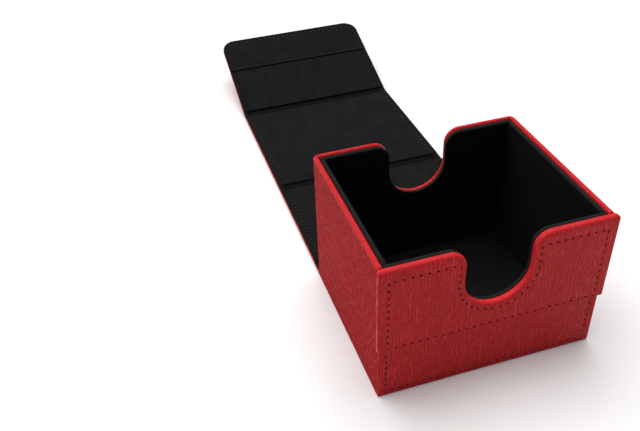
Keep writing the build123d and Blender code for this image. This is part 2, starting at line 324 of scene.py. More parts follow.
def loft(rings):
    """The faces of a closed solid through rings that have the same number of points."""
    count = len(rings[0])
    last = (len(rings) - 1) * count
    faces = [list(range(count))]
    for start in range(0, last, count):
        for i in range(count):
            j = (i + 1) % count
            faces.append((start + i, start + j, start + count + j, start + count + i))
    return [*faces, [last + i for i in range(count)]]


def plus(values, amount):
    """Edge values, each with the same amount added."""
    return {k: v + amount for k, v in values.items()}


ROLL_STEPS = 5


def quarter(inset_from, depth_to):
    """An edge roll: pairs of edge values (inset, depth) from the face to the outer edge."""
    for k in range(1, ROLL_STEPS + 1):
        angle = math.radians(90 * k / ROLL_STEPS)
        inset = {e: inset_from[e] * (1 - math.sin(angle)) for e in inset_from}
        yield inset, {e: depth_to[e] * (1 - math.cos(angle)) for e in depth_to}


HOLE_BED = HOLE_FLOOR * HOLE_HALF_WIDTH
# Rings across a row of stitches: (how far in from it, share of the groove's depth, is in the hole).
SEAM_PROFILE = (
    (1.9, 0.0, 0),
    (1.25, 0.0, 0),
    (HOLE_HALF_WIDTH, 0.85, 0),
    (HOLE_BED, 1.0, 1),
    (-HOLE_BED, 1.0, 1),
    (-HOLE_HALF_WIDTH, 0.85, 0),
    (-HOLE_HALF_WIDTH - 0.3, 0.25, 0),
)
FACE_INSETS = (2.5, 0.7)


def plate(
    name, shape, roll, roll_depth, behind, to_world, to_place, material,
    seam=None, edge_of=None, dark_of=None,
):
    """A sheet with rolled edges, a row of stitch holes in a pressed groove, and its back.

    roll and roll_depth are how far the face falls away before each edge and how deep; behind is a
    list of (inset, depth) for the rings that follow, round the edge and onto the back. edge_of says
    how much a point is lightened, partly as wear and partly as a painted highlight, and dark_of how
    much painted shade darkens it. Gives the piece and its rows of holes."""
    knots, holes, seam_pieces = knots_of(shape, seam)
    flat = everywhere(0.0)
    if seam:
        rows = [
            (plus(seam["inset"], offset), flat, groove * seam["groove"], hole * seam["hole"])
            for offset, groove, hole in SEAM_PROFILE
        ]
    else:
        rows = [(plus(roll, inset), flat) for inset in FACE_INSETS]
    rows += [(roll, flat), *quarter(roll, roll_depth), *behind]
    rings, pits = zip(*(ring_at(shape, knots, *row) for row in rows))
    points = [p for ring in rings for p in ring]
    darkened = [v for ring in pits for v in ring]
    if dark_of:
        darkened = [max(v, dark_of(*p)) for v, p in zip(darkened, points)]
    piece = make_mesh(
        name,
        [to_world(*p) for p in points],
        loft(rings),
        material,
        [to_place(*p) for p in points],
        darkened,
        [edge_of(*p) for p in points] if edge_of else None,
    )
    return piece, (holes, seam_pieces)


STITCH_STATIONS = (0.11, 0.17, 0.27, 0.5, 0.73, 0.83, 0.89)
STITCH_SINK = 3.2
STITCH_LEVEL = 0.46
SHORTEST_STITCH = 0.5


def thread(name, seam_data, depth, to_world, material, radius=THREAD_RADIUS, sides=6):
    """One row of stitches: a short sunk bow of thread from each hole to the next."""
    holes, pieces = seam_data
    vertices, faces = [], []
    turns = [2 * math.pi * m / sides for m in range(sides)]
    for places in holes:
        spots = [np.array(pieces[i][2](t)) for i, t in places]
        closed = len({i for i, _ in places}) == len(pieces)
        following = spots[1:] + spots[:1] if closed else spots[1:]
        for a, b in zip(spots, following):
            length = np.linalg.norm(b - a)
            if length < SHORTEST_STITCH:
                continue
            way = (b - a) / length
            across = np.array((-way[1], way[0]))
            rings = []
            for t in STITCH_STATIONS:
                level = depth + STITCH_SINK * max(0.0, abs(t - 0.5) * 2 - STITCH_LEVEL) ** 2
                swell = radius * (1.0 if 0.15 < t < 0.85 else 0.7)
                middle = a + (b - a) * t
                ring = []
                for w in turns:
                    u, v = middle + across * swell * math.cos(w)
                    ring.append((u, v, level - swell * 0.8 * math.sin(w)))
                rings.append(ring)
            start = len(vertices)
            vertices += [p for ring in rings for p in ring]
            faces += [[start + v for v in face] for face in loft(rings)]
    return make_mesh(name, [to_world(*p) for p in vertices], faces, material, vertices, sharp=80)


# ---------------------------------------------------------------- materials


def opaque(value):
    """A colour with full alpha; a number stays as it is."""
    return (*value, 1.0) if isinstance(value, tuple) else value


class Shader:
    """A material's node tree, with short calls for the nodes that the materials here use."""

    def __init__(self, name):
        self.material = bpy.data.materials.new(name)
        self.material.use_nodes = True
        self.tree = self.material.node_tree
        self.shader = self.tree.nodes["Principled BSDF"]

    def feed(self, socket, value):
        """Links an output to a socket, or sets its value."""
        if isinstance(value, bpy.types.NodeSocket):
            self.tree.links.new(value, socket)
        else:
            socket.default_value = value

    def node(self, kind, inputs=(), **settings):
        made = self.tree.nodes.new(kind)
        for key, value in settings.items():
            setattr(made, key, value)
        for key, value in dict(inputs).items():
            self.feed(made.inputs[key], value)
        return made

    def attribute(self, name, output):
        return self.node("ShaderNodeAttribute", attribute_name=name).outputs[output]

    def maths(self, operation, a, b=0.0, c=0.0):
        return self.node("ShaderNodeMath", {0: a, 1: b, 2: c}, operation=operation).outputs[0]

    def vector(self, operation, a, b):
        return self.node("ShaderNodeVectorMath", {0: a, 1: b}, operation=operation).outputs[0]

    def noise(self, vector, detail=2.0, roughness=0.5, distortion=0.0):
        inputs = {"Vector": vector, "Scale": 1.0, "Detail": detail}
        inputs.update(Roughness=roughness, Distortion=distortion)
        return self.node("ShaderNodeTexNoise", inputs).outputs[0]

    def scaled(self, vector, across, along, deep):
        """A place in metres as counts of cells of that many millimetres."""
        sizes = (1 / (across * MM), 1 / (along * MM), 1 / (deep * MM))
        return self.vector("MULTIPLY", vector, sizes)

    def spread(self, value, low, high, to_low=0.0, to_high=1.0, smooth=True):
        kind = "SMOOTHSTEP" if smooth else "LINEAR"
        inputs = {"Value": value, 1: low, 2: high, 3: to_low, 4: to_high}
        return self.node("ShaderNodeMapRange", inputs, interpolation_type=kind).outputs[0]

    def ramp(self, value, stops):
        made = self.node("ShaderNodeValToRGB", {0: value})
        while len(made.color_ramp.elements) < len(stops):
            made.color_ramp.elements.new(0.5)
        for element, (position, colour) in zip(made.color_ramp.elements, stops):
            element.position = position
            element.color = opaque(colour)
        return made.outputs[0]

    def mix(self, share, a, b):
        made = self.node("ShaderNodeMix", data_type="RGBA")
        for socket, value in ((0, share), (6, a), (7, b)):
            self.feed(made.inputs[socket], opaque(value))
        return made.outputs[2]

    def bump(self, height, distance, strength=1.0):
        inputs = {"Height": height, "Distance": distance, "Strength": strength}
        return self.node("ShaderNodeBump", inputs).outputs[0]

    def set(self, **values):
        for key, value in values.items():
            self.feed(self.shader.inputs[key.replace("_", " ")], value)
        return self.material


# Dark red painted as shade in stitch holes and pressed grooves.
PAINTED_SHADE_COLOUR = (0.02, 0.002, 0.003)
RIPPLE_PITCH = 0.98
# How strongly rims are lightened, partly as wear and partly as a painted highlight.
RIM_WEAR_AND_SHEEN = 0.6


def wear_sheen_and_painted_shade(s, colour, wear_and_sheen_colour, shade_colour=PAINTED_SHADE_COLOUR, wear_and_sheen=RIM_WEAR_AND_SHEEN):
    """The colour with the sheet's edges lighter, partly rubbed wear and partly a painted highlight,
    and its holes and grooves darker with painted shade.
    """
    share = s.attribute("edge", "Fac")
    if wear_and_sheen < 1:
        share = s.maths("MULTIPLY", share, wear_and_sheen)
    return s.mix(s.attribute("pit", "Fac"), s.mix(share, colour, wear_and_sheen_colour), shade_colour)


def ripple_leather():
    """Embossed leather whose grain is fine wavy streaks that run along the strip."""
    s = Shader("ripple_leather")
    place = s.attribute("place", "Vector")
    across = s.node("ShaderNodeSeparateXYZ", {0: place}).outputs[0]
    wander = s.noise(s.scaled(place, 2.6, 11.0, 3.0), detail=0.0)
    uneven = s.noise(s.scaled(place, 0.9, 40.0, 3.0), detail=0.0)
    count = s.maths("MULTIPLY", across, 1 / (RIPPLE_PITCH * MM))
    count = s.maths("MULTIPLY_ADD", wander, 1.5, count)
    count = s.maths("MULTIPLY_ADD", uneven, 0.9, count)
    wave = s.spread(s.maths("SINE", s.maths("MULTIPLY", count, 2 * math.pi)), -0.25, 1.0)
    broken = s.spread(s.noise(s.scaled(place, 0.9, 4.2, 0.8), detail=0.0), 0.28, 0.58)
    fine = s.spread(s.noise(s.scaled(place, 0.34, 1.9, 0.5), detail=0.0), 0.40, 0.72)
    ridge = s.maths("MULTIPLY", s.maths("MULTIPLY", wave, broken), 0.74)
    ridge = s.maths("MULTIPLY_ADD", fine, 0.26, ridge)
    grain = s.noise(s.scaled(place, 0.2, 0.3, 0.25), detail=1.0)
    height = s.maths("MULTIPLY_ADD", grain, 0.15, ridge)
    cloud = s.noise(s.scaled(place, 26.0, 34.0, 22.0), detail=2.0)
    tone = s.maths("MULTIPLY_ADD", cloud, 0.20, s.maths("MULTIPLY", height, 0.72))
    colour = s.ramp(
        tone,
        [
            (0.10, (0.360, 0.0018, 0.0036)),
            (0.30, (0.435, 0.0042, 0.0068)),
            (0.55, (0.525, 0.0115, 0.0155)),
            (0.80, (0.635, 0.0290, 0.0340)),
        ],
    )
    # Rims go towards this lighter red, partly wear and partly a painted highlight; holes and
    # grooves get painted shade.
    colour = wear_sheen_and_painted_shade(s, colour, (0.720, 0.0290, 0.0350))
    rough = s.spread(height, 0.1, 1.0, 0.58, 0.40, smooth=False)
    normal = s.bump(height, 0.00022, 1.0)
    return s.set(Base_Color=colour, Roughness=rough, Normal=normal, Specular_IOR_Level=0.16)


def pebble_leather():
    """The duller leather of the tray's walls, with a fine pebbled grain."""
    s = Shader("pebble_leather")
    place = s.attribute("place", "Vector")
    cells = s.node(
        "ShaderNodeTexVoronoi",
        {"Vector": s.scaled(place, 0.55, 0.75, 0.6), "Scale": 1.0, "Randomness": 1.0},
        feature="SMOOTH_F1",
    ).outputs["Distance"]
    pebble = s.spread(cells, 0.15, 0.75, 1.0, 0.0)
    streak = s.noise(s.scaled(place, 0.7, 3.6, 1.0), detail=1.5, distortion=0.3)
    height = s.maths("MULTIPLY", pebble, 0.5)
    height = s.maths("MULTIPLY_ADD", s.spread(streak, 0.35, 0.7), 0.6, height)
    cloud = s.noise(s.scaled(place, 26.0, 26.0, 26.0), detail=2.0)
    tone = s.maths("MULTIPLY_ADD", cloud, 0.35, s.maths("MULTIPLY", height, 0.5))
    colour = s.ramp(
        tone,
        [
            (0.20, (0.300, 0.0016, 0.0032)),
            (0.45, (0.375, 0.0044, 0.0068)),
            (0.80, (0.470, 0.0150, 0.0190)),
        ],
    )
    # Rims go towards this lighter red, partly wear and partly a painted highlight; holes and
    # grooves get painted shade.
    colour = wear_sheen_and_painted_shade(s, colour, (0.740, 0.0300, 0.0360))
    rough = s.spread(height, 0.2, 1.0, 0.85, 0.50, smooth=False)
    rough = s.maths("MULTIPLY_ADD", s.attribute("edge", "Fac"), -0.36, rough)
    normal = s.bump(height, 0.00030, 1.0)
    return s.set(Base_Color=colour, Roughness=rough, Normal=normal, Specular_IOR_Level=0.07)


def microfibre(name, dark, light, nap):
    """Black suede-like lining: a very fine nap with faint brushed clouds."""
    s = Shader(name)
    place = s.attribute("place", "Vector")
    fine = s.noise(s.scaled(place, 0.18, 0.22, 0.2), detail=2.0, roughness=0.6)
    brushed = s.noise(s.scaled(place, 9.0, 14.0, 9.0), detail=3.0, distortion=0.8)
    specks = s.spread(s.noise(s.scaled(place, 0.45, 0.45, 0.45), detail=0.0), 0.80, 0.88)
    tone = s.maths("MULTIPLY_ADD", brushed, 0.6, s.maths("MULTIPLY", fine, 0.4))
    colour = s.ramp(tone, [(0.30, dark), (0.72, light)])
    colour = s.mix(s.maths("MULTIPLY", specks, 0.05), colour, (0.16, 0.155, 0.15))
    # Edges go towards this grey as a painted highlight; holes, grooves and the pocket's edge get
    # painted shade.
    colour = wear_sheen_and_painted_shade(s, colour, (0.0240, 0.0230, 0.0225), (0.0016, 0.0015, 0.0016), 1)
    normal = s.bump(fine, 0.00010, nap)
    rough = s.spread(brushed, 0.3, 0.7, 0.97, 0.88, smooth=False)
    s.set(Base_Color=colour, Roughness=rough, Normal=normal)
    return s.set(Specular_IOR_Level=0.08, Sheen_Weight=0.012, Sheen_Roughness=0.5)


def plain_thread(name, dark, light):
    """Sewing thread, laid from fine strands that turn round it."""
    s = Shader(name)
    place = s.attribute("place", "Vector")
    strands = s.scaled(place, 0.55, 0.55, 0.55)
    lay = s.node(
        "ShaderNodeTexWave",
        {"Vector": strands, "Scale": 1.0, "Distortion": 2.0, "Detail": 1.0},
        wave_type="BANDS",
        bands_direction="DIAGONAL",
    ).outputs[1]
    colour = s.ramp(lay, [(0.1, dark), (0.8, light)])
    rough = s.spread(lay, 0.0, 1.0, 0.7, 0.55, smooth=False)
    return s.set(Base_Color=colour, Roughness=rough, Normal=s.bump(lay, 0.00006, 0.8))


def solid_stock(name, dark, light, metallic=0.0, rough=(0.9, 0.75), size=1.4):
    """Board, card or plated metal that the leather and the lining hide."""
    s = Shader(name)
    place = s.node("ShaderNodeTexCoord").outputs["Object"]
    fibre = s.noise(s.scaled(place, size, size, size * 0.3), detail=4.0, roughness=0.65)
    colour = s.ramp(fibre, [(0.35, dark), (0.65, light)])
    roughness = s.spread(fibre, 0.3, 0.7, rough[0], rough[1], smooth=False)
    normal = s.bump(fibre, 0.00008, 0.5)
    return s.set(Base_Color=colour, Roughness=roughness, Normal=normal, Metallic=metallic)


RIPPLE = ripple_leather()
PEBBLE = pebble_leather()
# The tray's liner is the same microfibre as the cover's lining, made darker as painted shade inside
# the tray.
LINER = microfibre("liner_microfibre_painted_shade", (0.0035, 0.0034, 0.0034), (0.0062, 0.0060, 0.0061), 0.5)
LINING = microfibre("cover_microfibre", (0.0062, 0.0060, 0.0061), (0.0102, 0.0098, 0.0099), 0.6)
RED_THREAD = plain_thread("red_thread", (0.30, 0.006, 0.010), (0.52, 0.020, 0.030))
BLACK_THREAD = plain_thread("black_thread", (0.010, 0.010, 0.010), (0.035, 0.034, 0.034))
BOARD = solid_stock("grey_board", (0.30, 0.28, 0.25), (0.45, 0.43, 0.39))
CARD = solid_stock("black_card", (0.020, 0.020, 0.020), (0.045, 0.044, 0.043))
METAL = solid_stock("plated_magnet", (0.50, 0.50, 0.52), (0.66, 0.66, 0.68), 1.0, (0.38, 0.26), 0.6)

HIDDEN_STOCK = (
    (BOARD, "board", "bottom left right back front front_panel back_panel top_panel flap", "board"),
    (CARD, "card", "front back left right floor", "liner_card"),
    (METAL, "magnet", "front flap", "magnets"),
)
for material, slot, places, kind in HIDDEN_STOCK:
    for name in places.split():
        node = frame["nodes"][f"{name}_{kind}"]
        node.data.materials.clear()
        node.data.materials.append(material)


def put(piece, body, slot, *nodes):
    """The piece rides on a body and stands for these CAD nodes; slot is not used."""
    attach(piece, body)
    if nodes:
        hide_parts(*nodes)


def on_front(face):
    """Plate coordinates to places on an upright sheet that faces the front."""
    return lambda u, v, depth: (u, face + depth, v)


def facing_down(face):
    """Plate coordinates to places on a flat sheet whose face is its underside."""
    return lambda u, v, depth: (u, v, face + depth)


def facing_up(face):
    """Plate coordinates to places on a flat sheet whose face is its top."""
    return lambda u, v, depth: (u, v, face - depth)


def wrapped(u, v, depth):
    """Grain coordinates that go on over a rim, as the leather does."""
    return (u, v + depth, 0.0)


def unrolled(u, v, depth):
    """Grain coordinates of a flat sheet."""
    return (u, v, 0.0)


def seam_along(inset, hole, runs, groove=SEAM_GROOVE):
    """A row of stitches: its inset, how deep its holes and its groove are, and where it runs."""
    return {"inset": inset, "groove": groove, "hole": hole, "runs": runs}


def sew(part, rows, to_world, body="tray"):
    """Red thread in a row of holes."""
    stitches = thread(f"{part}_stitches", rows, THREAD_DEPTH, to_world, RED_THREAD)
    put(stitches, body, "thread", f"{part}_thread")


def stiffener(name, node, shape, to_world, depths, roll=everywhere(0.3), fall=everywhere(0.2)):
    """A board behind the leather; depths are its edge's and its back's."""
    behind = [(everywhere(0.0), everywhere(depths[0])), (everywhere(0.8), everywhere(depths[1]))]
    core, _ = plate(name, shape, roll, fall, behind, to_world, wrapped, BOARD)
    put(core, "tray", "board", node)


# ---------------------------------------------------------------- front panel

EDGE_ROLL = 0.9
RIM_REACH = 1.98
PANEL_SIDE = 1.0
PANEL_SEAM = edges(4.7, 1.5, 5.8, 3.0)
panel_face = panel_low[1]
panel_back = front_y - panel_face
rim_back = (front_y + RIM_REACH) - panel_face


def panel_edge(u, v, depth):
    """How far a point of the front panel is onto its rolled rim, where it is lightened, partly as
    wear and partly as a painted highlight.
    """
    return min(1.0, max(0.0, depth / EDGE_ROLL))


def panel_shade(u, v, depth):
    """How much painted shade darkens the side of the panel where it rolls in to the wall."""
    on_side = abs(u) > panel_half - PANEL_SIDE and v < rim_z - 2.0
    return 0.5 * min(1.0, max(0.0, depth - 0.85)) if on_side else 0.0


panel_piece, panel_rows = plate(
    "front_panel_cover",
    rectangle(panel_half, panel_low[2], rim_z, 0.8, 1.5, NOTCH),
    edges(0.9, 0.7, 2.5, 2.1),
    edges(0.8, 0.7, 1.6, 1.6),
    [
        (everywhere(0.0), edges(1.0, 1.3, rim_back - 1.2)),
        (edges(0.10, 0.10, 0.18), edges(1.5, 1.5, rim_back - 0.66)),
        (edges(0.35, 0.20, 0.55), edges(2.0, panel_back, rim_back - 0.2)),
        (edges(0.70, 0.40, 1.05), edges(2.4, panel_back, rim_back)),
        (edges(0.97, 0.60, 1.44), edges(2.7, panel_back, rim_back)),
        (edges(0.98, 0.90, 1.48), everywhere(panel_back)),
        (edges(2.50, 2.50, 3.00), everywhere(panel_back)),
    ],
    on_front(panel_face),
    wrapped,
    RIPPLE,
    seam_along(PANEL_SEAM, 0.48, [(list(range(14)), (0.0, 0.0))]),
    edge_of=panel_edge,
    dark_of=panel_shade,
)
put(panel_piece, "tray", "leather", "front_panel_leather")
stiffener(
    "front_panel_stiffener",
    "front_panel_board",
    rectangle(panel_half - 0.9, panel_low[2] + 0.9, rim_z - 1.5, 0.5, 0.8, COVERED_NOTCH),
    on_front(panel_face + 0.70),
    (0.78, 0.86),
    edges(0.3, 0.3, 1.8),
    edges(0.2, 0.2, 0.55),
)
sew("front_panel", panel_rows, on_front(panel_face))

# ---------------------------------------------------------------- front strip

STRIP_RUN = [12, 13, 0, 1, 2]
strip_depth = everywhere(strip_high[1] - strip_low[1])
strip_end = strip_high[2] - panel_low[2] - 4.8
strip_piece, strip_rows = plate(
    "front_strip_cover",
    rectangle(half_width, strip_low[2], strip_high[2], notch=COVERED_NOTCH),
    edges(0.55, 0.06, 0.06),
    edges(0.5, 0.55, 0.55),
    [(everywhere(0.03), strip_depth), (everywhere(0.60), strip_depth)],
    on_front(front_y),
    wrapped,
    RIPPLE,
    seam_along(edges(COVER_SEAM, 2.0, 5.8, 4.5), 0.40, [(STRIP_RUN, (strip_end, strip_end))]),
)
put(strip_piece, "tray", "leather", "front_strip_leather")
sew("front_strip", strip_rows, on_front(front_y))

stiffener(
    "front_wall_stiffener",
    "front_board",
    rectangle(half_width - 1.2, strip_low[2], rim_z - 2.2, notch=COVERED_NOTCH),
    on_front(strip_high[1] + 0.05),
    (1.2, 1.3),
)
SIDE_BOARD_HALF, SIDE_BOARD_GAP = 38.0, 0.7
for side, sign in (("left", -1), ("right", 1)):
    stiffener(
        f"{side}_wall_stiffener",
        f"{side}_board",
        rectangle(SIDE_BOARD_HALF, strip_low[2], rim_z - 1.3),
        lambda u, v, depth, sign=sign: (sign * (half_width - SIDE_BOARD_GAP - depth), u, v),
        (1.0, 1.1),
    )

# ---------------------------------------------------------------- base

base_piece, _ = plate(
    "base_cover",
    rectangle(half_width, base_low[1], base_high[1], 0.6, SHARP),
    edges(0.55, 0.6, 0.06),
    edges(0.5, 0.6, 0.5),
    [(everywhere(inset), everywhere(base_high[2])) for inset in (0.03, 0.6)],
    facing_down(0.0),
    lambda u, v, depth: (u, v - base_low[1] - strip_low[2] - depth, 0.0),
    RIPPLE,
)
put(base_piece, "tray", "leather", "base_leather")

# ---------------------------------------------------------------- walls

# Below the rim the leather is pressed in: (distance from the rim, depth).
PRESSED_LINE = ((5.6, 0.0), (4.9, 0.0), (3.6, 0.05), (3.2, 0.09), (2.9, 0.0), (1.75, 0.0))
PRESSED_DEPTH = PRESSED_LINE[0][0]
# Near the front the wall runs in behind the panel: (distance from its front edge, pulled in by).
FRONT_EDGE = ((0.0, 0.12), *((s, 0.0) for s in (0.12, 1.25, 1.4, 1.6, 2.6, 3.6, 4.2, 4.9)))
FRONT_DROP, DROP_START, DROP_LENGTH = 1.5, 1.25, 0.35
BACK_CORNER = 3.0
SIDE_STEPS, CORNER_STEPS, LIP_STEPS, NOTCH_STEPS = 24, 8, 10, 12
RIM_STEPS, INSIDE_STEPS = 8, 4
TURN_IN = 6.0
TURN_GAP = 0.05
BACK_RUN = 140.0


def wall_stations():
    """Stations round the walls, left front to right front.

    Each is (rim point, bottom point, outward direction, inward direction along the wall face,
    how far the outer side is pulled in)."""
    stations = []

    def upright(x, y, out, drop=0.0, pull=0.0):
        rim, bottom = np.array((x, y, rim_z - drop)), np.array((x, y, wall_low[2]))
        stations.append((rim, bottom, np.array(out), np.array((0.0, 0.0, -1.0)), pull))

    length = back_y - BACK_CORNER - wall_low[1]
    plain = ((length * k / SIDE_STEPS, 0.0) for k in range(2, SIDE_STEPS + 1))
    for s, pull in (*FRONT_EDGE, *plain):
        drop = FRONT_DROP * (1 - min(1.0, max(0.0, (s - DROP_START) / DROP_LENGTH)))
        upright(-half_width, wall_low[1] + s, (-1.0, 0.0, 0.0), drop, pull)
    for k in range(1, CORNER_STEPS + 1):
        angle = math.radians(180 - 90 * k / CORNER_STEPS)
        c, s = math.cos(angle), math.sin(angle)
        x, y = -half_width + BACK_CORNER + c * BACK_CORNER, back_y - BACK_CORNER + s * BACK_CORNER
        upright(x, y, (c, s, 0.0))

    reach, lip = NOTCH_HALF, NOTCH_LIP
    corner_x = half_width - BACK_CORNER
    path = []
    for k in range(1, CORNER_STEPS + 1):
        x = -corner_x + (corner_x - reach - lip) * k / CORNER_STEPS
        path.append(((x, rim_z), (0.0, -1.0)))
    for k in range(1, LIP_STEPS + 1):
        angle = math.radians(90 - 90 * k / LIP_STEPS)
        way = (math.cos(angle), math.sin(angle))
        path.append(((-reach - lip + lip * way[0], rim_z - lip + lip * way[1]), (-way[0], -way[1])))
    for k in range(1, 4):
        z = rim_z - lip + (notch_centre - rim_z + lip) * k / 3
        path.append(((-reach, z), (-1.0, 0.0)))
    for k in range(1, NOTCH_STEPS + 1):
        angle = math.radians(180 + 90 * k / NOTCH_STEPS)
        way = (math.cos(angle), math.sin(angle))
        path.append(((reach * way[0], notch_centre + reach * way[1]), way))
    fanned = LIP_STEPS + 3
    for k, ((x, z), inward) in enumerate(path):
        low_x = x
        if CORNER_STEPS <= k < CORNER_STEPS + fanned:
            share = (k - CORNER_STEPS + 1) / fanned
            low_x = -reach - lip + (lip - PRESSED_DEPTH - 0.2) * share
        elif k >= CORNER_STEPS + fanned:
            low_x += inward[0] * PRESSED_DEPTH
        rim, bottom = np.array((x, back_y, z)), np.array((low_x, back_y, wall_low[2]))
        down = np.array((inward[0], 0.0, inward[1]))
        stations.append((rim, bottom, np.array((0.0, 1.0, 0.0)), down, 0.0))
    flip = np.array((-1.0, 1.0, 1.0))
    mirrored = [(r * flip, b * flip, o * flip, d * flip, p) for r, b, o, d, p in stations[:-1]]
    return stations + mirrored[::-1]


# The edge value lightens the leather over the rim and on its turn-in, partly as wear and partly as
# a painted highlight.
def wall_section(rim, bottom, out, inward, pull):
    """The wrap's section at one station: a list of (point, edge value, grain height)."""
    radius = WALL / 2
    foot = -(rim_z - wall_low[2])
    outer = rim - out * pull
    section = [(bottom - out * pull, 0.0, foot)]
    for depth, press in PRESSED_LINE:
        section.append((outer + inward * depth - out * press, 0.0, -depth))
    for k in range(RIM_STEPS + 1):
        angle = math.pi * k / RIM_STEPS
        across = radius - radius * math.cos(angle)
        rise = radius - radius * math.sin(angle)
        shift = out * (pull if k > RIM_STEPS // 2 else 0.0)
        point = outer + shift - out * across + inward * rise
        section.append((point, 1.0 if k else 0.5, radius * angle - radius))
    inner = rim - out * WALL
    end = radius * math.pi + TURN_IN
    section.append((inner + inward * TURN_IN, 1.0, end))
    section.append((inner + out * (LEATHER - TURN_GAP) + inward * TURN_IN, 1.0, end + 0.5))
    small = radius - LEATHER + TURN_GAP
    for k in range(INSIDE_STEPS + 1):
        angle = math.pi * (1 - k / INSIDE_STEPS)
        across = radius - small * math.cos(angle)
        rise = radius - small * math.sin(angle)
        section.append((rim - out * across + inward * rise, 1.0, radius * angle))
    section.append((bottom - out * (LEATHER - 0.03), 0.0, foot))
    return section


def wall_piece():
    """One wrap of leather round three walls, rolled over the rim and turned in behind it."""
    sections, places = [], []
    run = 0.0
    previous = None
    for station in wall_stations():
        section = wall_section(*station)
        rim, out = station[0], station[2]
        if previous is not None:
            run += float(np.linalg.norm(rim - previous))
        previous = rim
        on_back = out[1] > 0.99
        for p, _, height in section:
            along = BACK_RUN + p[0] if on_back else run
            places.append((along, p[2] if height <= 0 else rim_z + height, 0.0))
        sections.append(section)
    points = [tuple(p) for section in sections for p, _, _ in section]
    # Rim lightening, partly wear and partly a painted highlight.
    wear_and_sheen = [value for section in sections for _, value, _ in section]
    return make_mesh("wall_cover", points, loft(sections), PEBBLE, places, None, wear_and_sheen)


put(wall_piece(), "tray", "leather", "wall_leather")

# ---------------------------------------------------------------- liner

LINER_ROLL = 0.75
LINER_FALL = 0.7
LINER_RAISE = 0.5
liner_depth = front_liner_high[1] - front_liner_low[1]
liner_top = front_liner_high[2] + LINER_RAISE


def liner_plate(wall, shape, thickness, to_world):
    """A fabric-faced card with rounded edges."""
    back = [
        (everywhere(0.0), everywhere(thickness - 0.6)),
        ({**everywhere(0.18), "low": 0.03}, everywhere(thickness - 0.18)),
        ({**everywhere(0.6), "low": 0.06}, everywhere(thickness)),
        ({**everywhere(3.0), "low": 1.0}, everywhere(thickness)),
    ]

    # The liner is lightened along its top and over its rolled edges, as a painted highlight.
    def rim(u, v, depth):
        return 0.55 if v > shape["high"] - 0.9 or depth > 0.4 else 0.0

    cloth, _ = plate(
        f"{wall}_liner_cloth",
        shape,
        {**everywhere(LINER_ROLL), "low": 0.08},
        everywhere(LINER_FALL),
        back,
        to_world,
        wrapped,
        LINER,
        edge_of=rim,
    )
    put(cloth, "tray", "liner_fabric", f"{wall}_liner_fabric")


def notched_liner(wall, gap, face, facing):
    """The liner of a notched wall; its own notch is this much wider than the wall's."""
    notch = (NOTCH_HALF + gap, NOTCH_LIP - gap)
    shape = rectangle(front_liner_high[0], front_liner_low[2], liner_top, notch=notch)
    liner_plate(wall, shape, liner_depth, lambda u, v, depth: (u, face + facing * depth, v))


notched_liner("front", 0.5, front_liner_high[1], -1)
notched_liner("back", -0.45, back_liner_low[1], 1)

liner_middle = (left_liner_low[1] + left_liner_high[1]) / 2
liner_half = (left_liner_high[1] - left_liner_low[1]) / 2
liner_face = abs(left_liner_high[0])
for side, sign in (("left", -1), ("right", 1)):
    liner_plate(
        side,
        rectangle(liner_half, left_liner_low[2], liner_top),
        left_liner_high[0] - left_liner_low[0],
        lambda u, v, depth, sign=sign: (sign * (liner_face + depth), liner_middle + u, v),
    )

floor_cloth, _ = plate(
    "floor_liner_cloth",
    rectangle(floor_high[0], floor_low[1], floor_high[1]),
    everywhere(0.35),
    everywhere(0.35),
    [
        (everywhere(0.0), everywhere(0.55)),
        (everywhere(0.5), everywhere(floor_high[2] - floor_low[2])),
    ],
    facing_up(floor_high[2]),
    unrolled,
    LINER,
)
put(floor_cloth, "tray", "liner_fabric", "floor_liner_fabric")

# ---------------------------------------------------------------- cover panels and flap

EDGE_TOP = top_panel_high[2]
LINING_THICK = 0.8
LINING_SEAM = COVER_SEAM - LINING_SETBACK
COVER_HOLE, LINING_HOLE, LINING_GROOVE = 0.42, 0.22, 0.08
SEAM_ENDS = (COVER_SEAM, COVER_SEAM)
CREASE_HALF = 3.5
FLAP_LENGTH, FLAP_CORNER, FLAP_LINING_CORNER = 73.9, 10.0, 9.4
POCKET_START, POCKET_EDGE, POCKET_THICK, POCKET_CORNER = 43.1, 1.2, 0.7, 8.8


def tilt(point):
    """A place on the flap drawn flat, turned up about the front crease as it stands at rest."""
    x, y, z = point
    dy, dz = y - crease["front_crease"], z - pivot_z
    c, s = math.cos(rest_angle), math.sin(rest_angle)
    return (x, crease["front_crease"] + dy * c - dz * s, pivot_z + dy * s + dz * c)


def tilted(to_world):
    """The same mapping, on the flap."""
    return lambda u, v, depth: tilt(to_world(u, v, depth))


def cover_edge(u, v, depth):
    """How far a point of the cover's leather is onto its turned side, where it is lightened, partly
    as wear and partly as a painted highlight.
    """
    return 0.6 * min(1.0, max(0.0, depth / EDGE_ROLL)) if abs(u) > half_width - 1 else 0.0


